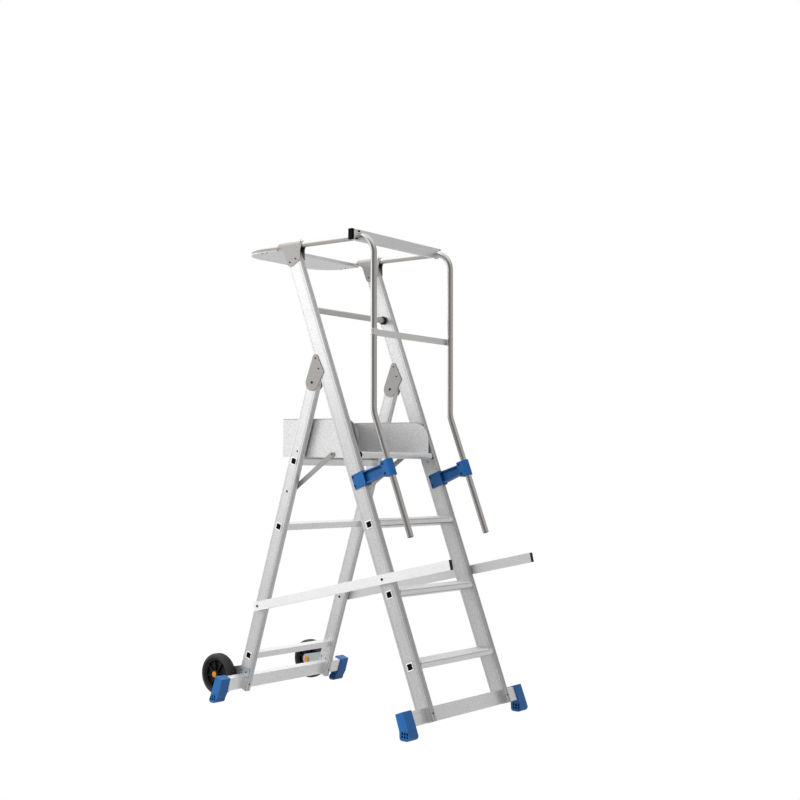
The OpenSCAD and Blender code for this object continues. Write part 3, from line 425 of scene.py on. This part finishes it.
def rounded(w, d, r, steps=4):
    """Outline of a rectangle with round corners."""
    pts = []
    for cx, cy, start in ((w / 2 - r, d / 2 - r, 0), (r - w / 2, d / 2 - r, 90),
                          (r - w / 2, r - d / 2, 180), (w / 2 - r, r - d / 2, 270)):
        for i in range(steps + 1):
            a = math.radians(start + 90 * i / steps)
            pts.append((cx + r * math.cos(a), cy + r * math.sin(a)))
    return pts


def layered(outline, layers):
    """A solid on one outline, through layers of (scale, height)."""
    return stacked([[(x * k, y * k, z) for x, y in outline] for k, z in layers])


def slab(outline, thick, bevel=0.0006):
    """A plate on any outline, with rounded edges. It stands on Z = 0."""
    bm = bmesh.new()
    face = bm.faces.new([bm.verts.new((x, y, 0)) for x, y in outline])
    moved = bmesh.ops.extrude_face_region(bm, geom=[face])["geom"]
    lifted = [v for v in moved if isinstance(v, bmesh.types.BMVert)]
    bmesh.ops.translate(bm, verts=lifted, vec=(0, 0, thick))
    bmesh.ops.recalc_face_normals(bm, faces=bm.faces[:])
    rim = [e for e in bm.edges if abs(e.verts[0].co.z - e.verts[1].co.z) < 1e-9]
    bmesh.ops.bevel(bm, geom=rim, offset=bevel, segments=2, affect="EDGES", profile=0.5)
    return bm


def swept(path, radius, sides=12, flat=1.0):
    """A round bar along a path of points. flat squeezes it across its second axis."""
    rings = []
    for i, p in enumerate(path):
        p = Vector(p)
        along = (Vector(path[min(i + 1, len(path) - 1)]) - Vector(path[max(i - 1, 0)])).normalized()
        off = Vector((1, 0, 0)) if abs(along.x) < 0.9 else Vector((0, 0, 1))
        side = along.cross(off).normalized()
        up = side.cross(along).normalized()
        rings.append([p + radius * (math.cos(a) * side + flat * math.sin(a) * up)
                      for a in (2 * math.pi * k / sides for k in range(sides))])
    return stacked(rings)


def along_x(x, y=0.0, z=0.0, s=1):
    """Stands a shape made on Z out along +X or -X at a point."""
    return Matrix.Translation((x, y, z)) @ Matrix.Rotation(s * math.pi / 2, 4, "Y")


def dome(r, h=0.0012):
    """Head of a rivet: low dome with a rolled foot and a dimple."""
    return turned([(r * 1.12, 0), (r * 1.12, h * 0.25), (r, h * 0.4), (r * 0.85, h * 0.85),
                   (r * 0.55, h * 1.1), (r * 0.36, h * 1.1), (r * 0.26, h * 0.6), (r * 0.05, h * 0.5)], 24)


# Ends of the rungs and of the tenons under the treads
LOW_RUNG_H = 0.191
MID_RUNG_H = 0.740
PLUG_CORNER = 0.003
PLUG_LAYERS = ((1, -0.009), (1, -0.0012), (0.96, -0.0006), (0.84, -0.0006), (0.78, -0.002), (0.3, -0.0026))
RIM_CORNER = 0.004
RIM_LAYERS = ((0.90, 0.0), (1.13, 0.0), (1.13, 0.0006), (1.06, 0.0012), (0.97, 0.0012), (0.90, 0.0006))
tenon_drop = RUNG_S / 2 * (math.cos(FRONT_LEAN) + math.sin(FRONT_LEAN))
tread_at = [FRONT @ Vector((0, 0, (STEP_RISE * i - tenon_drop) / math.cos(FRONT_LEAN))) for i in (1, 2, 3)]
rung_half = RUNG_S / 2 * (math.cos(REAR_LEAN) + math.sin(REAR_LEAN))
rung_heights = (LOW_RUNG_H, MID_RUNG_H, DECK_TOP_H - DECK_T - DECK_GAP - rung_half)
rung_at = [REAR @ Vector((0, 0, h / math.cos(REAR_LEAN))) for h in rung_heights]


def plug():
    """Square plug with a raised rim and a sunk middle."""
    hole = RUNG_S - 2 * RUNG_WALL
    return layered(rounded(hole, hole, PLUG_CORNER), PLUG_LAYERS)


def rim():
    """Flared rounded square ring against the stile, in near-white: a painted highlight. It lies on Z = 0.
    """
    return stacked([[(x * k, y * k, z) for x, y in rounded(RUNG_S, RUNG_S, RIM_CORNER)]
                    for k, z in RIM_LAYERS], closed=True)


def on_rung_ends(make, kind, finish, slot):
    """One piece a frame, with a copy of the shape on both ends of each rung or tenon."""
    for side, places, lean in (("front", tread_at, -FRONT_LEAN), ("rear", rung_at, REAR_LEAN)):
        shape = Shape()
        for p in places:
            for s in SIDES:
                shape.take(make(), Matrix.Translation((s * (OUT_X + FLARE), p.y, p.z))
                           @ Matrix.Rotation(lean, 4, "X") @ Matrix.Rotation(s * math.pi / 2, 4, "Y"))
        shape.piece(side + "_rung_" + kind, finish, side + "_frame", slot)


on_rung_ends(plug, "plugs", "jet", "black_plastic")
# The rims are near-white: painted highlight
on_rung_ends(rim, "rims", "bright", "profile_aluminium")


# Rivet and bolt heads
HEAD_T = 0.002
RIVET = 0.0024
HINGE_RIVET_W = FRONT_D / 2 - 0.0065
HINGE_RIVETS_UP = (HINGE_L - 0.003, 0.43 * HINGE_L)
HINGE_STACK = 0.0033
PIVOT_BOLT_R = 0.0036
SADDLE_L = 0.134
SADDLE_H = 0.089
SADDLE_SHEET = 0.002
SADDLE_RIVETS = ((-0.045, -0.775), (-0.276, -0.64))
BRACKET_H = 0.126
BRACKET_BOLTS = (-0.15, 0.33)
BRACKET_BOLT_R = 0.0026


def heads(name, places, body):
    """One piece of small heads. A place is a matrix whose Z leaves the surface, and a radius."""
    shape = Shape()
    for matrix, r in places:
        shape.take(dome(r), matrix)
    shape.piece(name, "fastener", body, "steel_fastener")


front_heads = []
rear_heads = []
for s in SIDES:
    for lean, depth, places in ((FRONT, FRONT_D, front_heads), (REAR, REAR_D, rear_heads)):
        places.append((lean @ Matrix.Translation((s * MID_X, -depth / 2 - HEAD_T, STAB_AT))
                       @ Matrix.Rotation(math.pi / 2, 4, "X"), RIVET))
hinge_u = (PIVOT_H * math.cos(FRONT_LEAN)
           + (PIVOT_H * math.tan(FRONT_LEAN) + PIVOT_BACK / math.cos(FRONT_LEAN)) * math.sin(FRONT_LEAN))
plate_reach = STILE_W / 2 + HINGE_STACK + HEAD_T
for s in SIDES:
    for e in SIDES:
        x = s * MID_X + e * plate_reach
        for up in HINGE_RIVETS_UP:
            front_heads.append((FRONT @ along_x(x, HINGE_RIVET_W, hinge_u + up, e), RIVET))
        front_heads.append((FRONT @ along_x(x, PIVOT_BACK, hinge_u, e), PIVOT_BOLT_R))
    for e in SIDES:
        x = s * MID_X + e * (STILE_W / 2 + SADDLE_SHEET + HEAD_T)
        for y, z in SADDLE_RIVETS:
            front_heads.append((along_x(x, SADDLE_Y + y * SADDLE_L, TUBE_TOP_H + z * SADDLE_H, e), RIVET))
for s in SIDES:
    for w in BRACKET_BOLTS:
        rear_heads.append((REAR @ along_x(s * IN_X, w * REAR_D, BRACKET_H, -s), BRACKET_BOLT_R))
heads("front_rivet_heads", front_heads, "front_frame")
heads("rear_rivet_heads", rear_heads, "rear_frame")


# Treads: raised ribs on the top, near-white as a painted highlight, and a dark bar along the front edge,
# the painted shadow under the nosing
TREAD_D = 0.080
TREAD_NOSE = 0.004
TREAD_RIBS = 5
RIB_R = 0.0032
RIB_FLAT = 0.45
NOSE_SHADOW_R = 0.0016
rib_x = [x * (IN_X - 0.001) for x in (-1, 0, 1)]
ribs = Shape()
nose_shadow = Shape()
for i in (1, 2, 3):
    top = STEP_RISE * i
    front = FLOOR_FRONT + top * math.tan(FRONT_LEAN) - FRONT_D / 2 / math.cos(FRONT_LEAN) - TREAD_NOSE
    for k in range(TREAD_RIBS):
        y = front + (k + 0.5) * TREAD_D / TREAD_RIBS
        ribs.take(swept([(x, y, top) for x in rib_x], RIB_R, 12, RIB_FLAT))
    # A dark bar under the front edge: painted shadow of the nosing
    nose_shadow.take(swept([(x, front - 0.0002, top - 2 * NOSE_SHADOW_R) for x in rib_x], NOSE_SHADOW_R, 8))
# The ribs are near-white: painted highlight
ribs.piece("tread_ribs", "bright", "front_frame", "profile_aluminium")
nose_shadow.piece("tread_nose_shadow", "knee_rail", "front_frame", "profile_aluminium")


# Black blocks inside the shoes, seen through their windows: painted shade of the hollow inside
SHADE_BLOCK_W = 0.042
SHADE_BLOCK_D = 0.033
SHADE_BLOCK_CORNER = 0.002
SHADE_BLOCK_LAYERS = ((0.94, 0.0100), (1, 0.0112), (1, 0.0312), (0.94, 0.0325))
SHOE_FRONT = 0.009
SHOE_HALF = 0.0225
SHOES = (("front_frame", FLOOR_FRONT, 0.041, 0.389), ("rear_frame", FLOOR_REAR, 0.035, 0.395))
for body, floor, rear, end in SHOES:
    shape = Shape()
    for s in SIDES:
        shape.take(layered(rounded(SHADE_BLOCK_W, SHADE_BLOCK_D, SHADE_BLOCK_CORNER), SHADE_BLOCK_LAYERS),
                   Matrix.Translation((s * (end - SHOE_HALF), floor + (rear - SHOE_FRONT) / 2, 0)))
    shape.piece(body + "_shoe_window_shade", "jet", body, "black_plastic")


# Wheels: moulded centre with thin ribs, tyre with a grooved tread
RIM_R = WHEEL_R - TYRE_T
HALF_W = WHEEL_W / 2
BORE_R = AXLE_R + 0.0001
WHEEL_RIBS = 8
RIB_TURN = 12


def wheel_centre():
    half = [(BORE_R, HALF_W), (0.0150, HALF_W), (0.0165, HALF_W - 0.0015), (0.0175, 0.004),
            (RIM_R - 0.010, 0.003), (RIM_R - 0.0085, HALF_W - 0.009), (RIM_R - 0.006, HALF_W - 0.0065),
            (RIM_R, HALF_W - 0.005)]
    bm = turned([(r, -z) for r, z in half] + half[::-1], 64, closed=True)
    mesh = bpy.data.meshes.new("part")
    for k in range(WHEEL_RIBS):
        rib = slab([(0.015, -0.0018), (RIM_R - 0.007, -0.0014), (RIM_R - 0.007, 0.0014), (0.015, 0.0018)],
                   WHEEL_W - 0.014, 0.0005)
        rib.transform(Matrix.Rotation(math.radians(360 / WHEEL_RIBS * k + RIB_TURN), 4, "Z")
                      @ Matrix.Translation((0, 0, 0.007 - HALF_W)))
        rib.to_mesh(mesh)
        rib.free()
        bm.from_mesh(mesh)
    bpy.data.meshes.remove(mesh)
    return bm


def tyre_shape():
    side = [(RIM_R, HALF_W - 0.006), (RIM_R + 0.0015, HALF_W - 0.002), (RIM_R + 0.004, HALF_W),
            (RIM_R + 0.009, HALF_W), (RIM_R + 0.0100, HALF_W - 0.0008), (RIM_R + 0.0112, HALF_W - 0.0008),
            (RIM_R + 0.0120, HALF_W - 0.0003), (RIM_R + 0.0150, HALF_W - 0.0020),
            (WHEEL_R - 0.0022, HALF_W - 0.0060), (WHEEL_R - 0.0006, HALF_W - 0.0095)]
    tread = [(WHEEL_R - 0.0002, 0.0100), (WHEEL_R - 0.0020, 0.0094), (WHEEL_R - 0.0020, 0.0078),
             (WHEEL_R, 0.0072), (WHEEL_R, 0.0018), (WHEEL_R - 0.0018, 0.0012)]
    right = side + tread
    return turned(right + [(r, -z) for r, z in reversed(right)], 72, closed=True)


for s, side in ((-1, "left"), (1, "right")):
    at = along_x(s * WHEEL_X, AXLE.y, AXLE.z, s)
    Shape().take(wheel_centre(), at).piece(
        side + "_wheel_centre", "black", side + "_wheel_set", "black_plastic", (side + "_wheel",))
    Shape().take(tyre_shape(), at).piece(
        side + "_grooved_tyre", "tyre", side + "_wheel_set", "tyre_rubber", (side + "_tyre",))

AXLE_OUTER = WHEEL_X + WHEEL_W / 2 + 0.001 + 0.0028
AXLE_INNER = OUT_X - 0.0025
AXLE_CAP = ((0.0121, -0.0022), (0.0121, -0.0005), (0.0112, 0.0004), (0.0085, 0.0009), (0.0080, 0.0004),
            (0.0060, 0.0004), (0.0055, 0.0012), (0.0005, 0.0014))
caps = Shape()
for s in SIDES:
    for x, e in ((AXLE_OUTER, s), (AXLE_INNER, -s)):
        caps.take(turned(AXLE_CAP, 40), along_x(s * x, AXLE.y, AXLE.z, e))
caps.piece("axle_cap_faces", "orange", "rear_frame", "orange_plastic")


# Platform: dark plugs in the nosing, ribbed grip on it, rolled edge round the toe boards in a darker
# finish, a painted shade of the thick edge
NOSING_PLUG = ((0.0124, -0.004), (0.0124, 0.0015), (0.0116, 0.0026), (0.0090, 0.0030), (0.0060, 0.0022),
               (0.0045, 0.0022))
NOSING_OUT = 0.0025
plugs = Shape()
for s in SIDES:
    plugs.take(turned(NOSING_PLUG, 32),
               along_x(s * (DECK_X + NOSING_OUT), DECK_PIVOT.y, DECK_PIVOT.z, s))
plugs.piece("nosing_plugs", "jet", "platform", "black_plastic")

GRIP_RIBS = 7
GRIP_FROM = 80
GRIP_STEP = 17
GRIP_R = 0.0009
grip_end = DECK_X - 0.003
grip = Shape()
for k in range(GRIP_RIBS):
    a = math.radians(GRIP_FROM + GRIP_STEP * k)
    c = DECK_PIVOT + (DECK_T / 2 - 0.0002) * Vector((0, math.cos(a), math.sin(a)))
    grip.take(swept([(x, c.y, c.z) for x in (-grip_end, 0, grip_end)], GRIP_R, 8))
grip.piece("nosing_grip", "sheet", "platform", "sheet_aluminium")

# The path is (back, up) from the deck's pivot, round the front corner of a toe board
TOE_FRONT = 0.009
TOE_SHEET = 0.0025
EDGE_R = 0.0019
toe_low = 0.004 - DECK_T / 2
toe_high = DECK_T / 2 + TOE_H
path = [(TOE_FRONT, toe_low)]
path += [(TOE_FRONT + TOE_R - TOE_R * math.cos(a), toe_high - TOE_R + TOE_R * math.sin(a))
         for a in (math.radians(6 * i) for i in range(16))]
path += [(DECK_L, toe_high)]
edge = Shape()
for s in SIDES:
    x = s * (DECK_X + TOE_SHEET / 2)
    edge.take(swept([(x, DECK_PIVOT.y + y, DECK_PIVOT.z + z) for y, z in path], EDGE_R, 8))
# The rolled edge takes the darker plate finish: painted shade
edge.piece("toe_board_edges", "plate", "platform", "sheet_aluminium")

WASHER = ((0.0085, 0), (0.0085, 0.0006), (0.0074, 0.0012), (0.0052, 0.0012), (0.0050, 0.0006),
          (0.0036, 0.0006), (0.0030, 0.0016), (0.0016, 0.0018))
WASHER_X = IN_X - 0.0012 - 0.004
bosses = Shape()
for s in SIDES:
    bosses.take(turned(WASHER, 32),
                along_x(s * WASHER_X, DECK_PIVOT.y + STRUT_REACH, DECK_PIVOT.z, -s))
bosses.piece("strut_washers", "fastener", "platform_struts", "steel_fastener")


# Gate: clip with two bolts round the left tube, pin at the right end
CLIP_BOLT = ((0.0036, 0), (0.0036, 0.004), (0.0030, 0.0052), (0.0020, 0.0056), (0.0016, 0.0040))
CLIP_BOLTS_AT = ((-0.2527, 1.9092), (-0.2665, 1.8790))
GATE_PIN = ((0.0022, 0), (0.0022, 0.018), (0.0036, 0.0182), (0.0040, 0.0200), (0.0036, 0.0218),
            (0.0015, 0.0226))
PIN_OUT = 0.0045
PIN_UP = 0.0255
clip = Shape()
for x, z in CLIP_BOLTS_AT:
    clip.take(turned(CLIP_BOLT, 24),
              Matrix.Translation((x, GATE_Y, z)) @ Matrix.Rotation(math.pi / 2, 4, "X"))
clip.piece("gate_clip_bolts", "jet", "top_gate", "steel_fastener")
pin = Shape()
pin.take(turned(GATE_PIN, 24),
         along_x(MID_X + TUBE_R + PIN_OUT, GATE_Y + GATE_D / 2, TUBE_TOP_H + PIN_UP))
pin.piece("gate_pin", "wire", "top_gate", "steel_plate")


# Small wire latches on the saddles and dark pads between hoop and stile
SADDLE_FRONT = SADDLE_Y - 0.061
LATCH_PATH = ((-0.004, 0.004, -0.026), (-0.012, 0.001, -0.010), (-0.0145, -0.001, 0.004),
              (-0.0125, -0.001, 0.014), (-0.008, 0, 0.020))
LATCH_R = 0.0011
PAD_D = 0.012
PAD_BACK = 0.008
PAD_CORNER = 0.003
PAD_LAYERS = ((0.9, -0.018), (1, -0.017), (1, -0.0135), (0.9, -0.0125))
latches = Shape()
pads = Shape()
for s in SIDES:
    mid = s * MID_X
    latches.take(swept([(mid + x, SADDLE_FRONT + y, TUBE_TOP_H + z) for x, y, z in LATCH_PATH], LATCH_R, 8))
    pads.take(layered(rounded(STILE_W - 0.002, PAD_D, PAD_CORNER), PAD_LAYERS),
              Matrix.Translation((mid, SADDLE_FRONT + PAD_BACK, TUBE_TOP_H)))
latches.piece("saddle_latches", "wire", "front_frame", "steel_plate")
pads.piece("saddle_pads", "jet", "front_frame", "black_plastic")


# Floor and light
FLOOR_HALF = 30
FLOOR_GREY = 0.5
FLOOR_ROUGHNESS = 0.9
FLOOR_MIRRORED = 0.67


def make_stage():
    mesh = bpy.data.meshes.new("floor")
    bm = bmesh.new()
    bmesh.ops.create_grid(bm, x_segments=1, y_segments=1, size=FLOOR_HALF)
    bm.to_mesh(mesh)
    bm.free()
    floor = bpy.data.objects.new("floor", mesh)
    scene.collection.objects.link(floor)
    mat, tree, bsdf = new_material("floor")
    bsdf.inputs["Base Color"].default_value = (FLOOR_GREY, FLOOR_GREY, FLOOR_GREY, 1)
    bsdf.inputs["Roughness"].default_value = FLOOR_ROUGHNESS
    path = node(tree, "ShaderNodeLightPath")
    seen = path.outputs["Is Camera Ray"]
    mirrored = maths(tree, "MAXIMUM", seen, path.outputs["Is Glossy Ray"])
    strength = spread_to(tree, seen, 0, 1, FLOOR_MIRRORED, 1)
    glow = node(tree, "ShaderNodeEmission", {"Color": (1, 1, 1, 1), "Strength": strength})
    mix = node(tree, "ShaderNodeMixShader", {0: mirrored, 1: bsdf.outputs[0], 2: glow.outputs[0]})
    out = [n for n in tree.nodes if n.type == "OUTPUT_MATERIAL"][0]
    tree.links.new(mix.outputs[0], out.inputs[0])
    floor.data.materials.append(mat)


def area_light(name, place, aim, size, power):
    data = bpy.data.lights.new(name, "AREA")
    data.shape = "RECTANGLE"
    data.size, data.size_y = size
    data.energy = power
    obj = bpy.data.objects.new(name, data)
    obj.location = place
    obj.rotation_euler = (Vector(aim) - Vector(place)).to_track_quat("-Z", "Y").to_euler()
    obj.visible_glossy = False
    scene.collection.objects.link(obj)


# Surroundings of the studio: evenly grey, with soft patches given by azimuth and elevation in
# degrees, the angles within which a patch is full and beyond which it is gone, and its strength
EVEN = 0.55
PATCHES = ((112, 26, 23, 48, 1.08), (50, 20, 20, 50, 0.50), (0, 90, 20, 60, 0.52), (190, 5, 30, 60, -0.33))
KEY_PLACE = (-3.4, 0.6, 3.0)
KEY_AIM = (0, 0, 1.3)
KEY_SIZE = (2.2, 2.2)
KEY_POWER = 120


def make_light():
    world = bpy.data.worlds.new("world")
    scene.world = world
    world.use_nodes = True
    tree = world.node_tree
    tree.nodes.clear()
    out = tree.nodes.new("ShaderNodeOutputWorld")
    path = node(tree, "ShaderNodeLightPath")
    seen = maths(tree, "MAXIMUM", path.outputs["Is Camera Ray"], path.outputs["Is Transmission Ray"])
    towards = node(tree, "ShaderNodeTexCoord").outputs["Generated"]
    total = maths(tree, "ADD", EVEN)
    for azimuth, elevation, full, gone, strength in PATCHES:
        az, el = math.radians(azimuth), math.radians(elevation)
        direction = (math.cos(el) * math.cos(az), math.cos(el) * math.sin(az), math.sin(el))
        dot = node(tree, "ShaderNodeVectorMath", {0: towards, 1: direction}, operation="DOT_PRODUCT")
        patch = node(tree, "ShaderNodeMapRange",
                     {"Value": dot.outputs["Value"], "From Min": math.cos(math.radians(gone)),
                      "From Max": math.cos(math.radians(full)), "To Min": 0.0, "To Max": strength},
                     interpolation_type="SMOOTHSTEP").outputs[0]
        total = maths(tree, "ADD", total, patch)
    light = node(tree, "ShaderNodeBackground", {"Color": (1, 1, 1, 1), "Strength": total})
    back = node(tree, "ShaderNodeBackground", {"Color": (1, 1, 1, 1), "Strength": 1.0})
    mix = node(tree, "ShaderNodeMixShader", {0: seen, 1: light.outputs[0], 2: back.outputs[0]})
    tree.links.new(mix.outputs[0], out.inputs[0])
    area_light("key", KEY_PLACE, KEY_AIM, KEY_SIZE, KEY_POWER)


make_stage()
make_light()
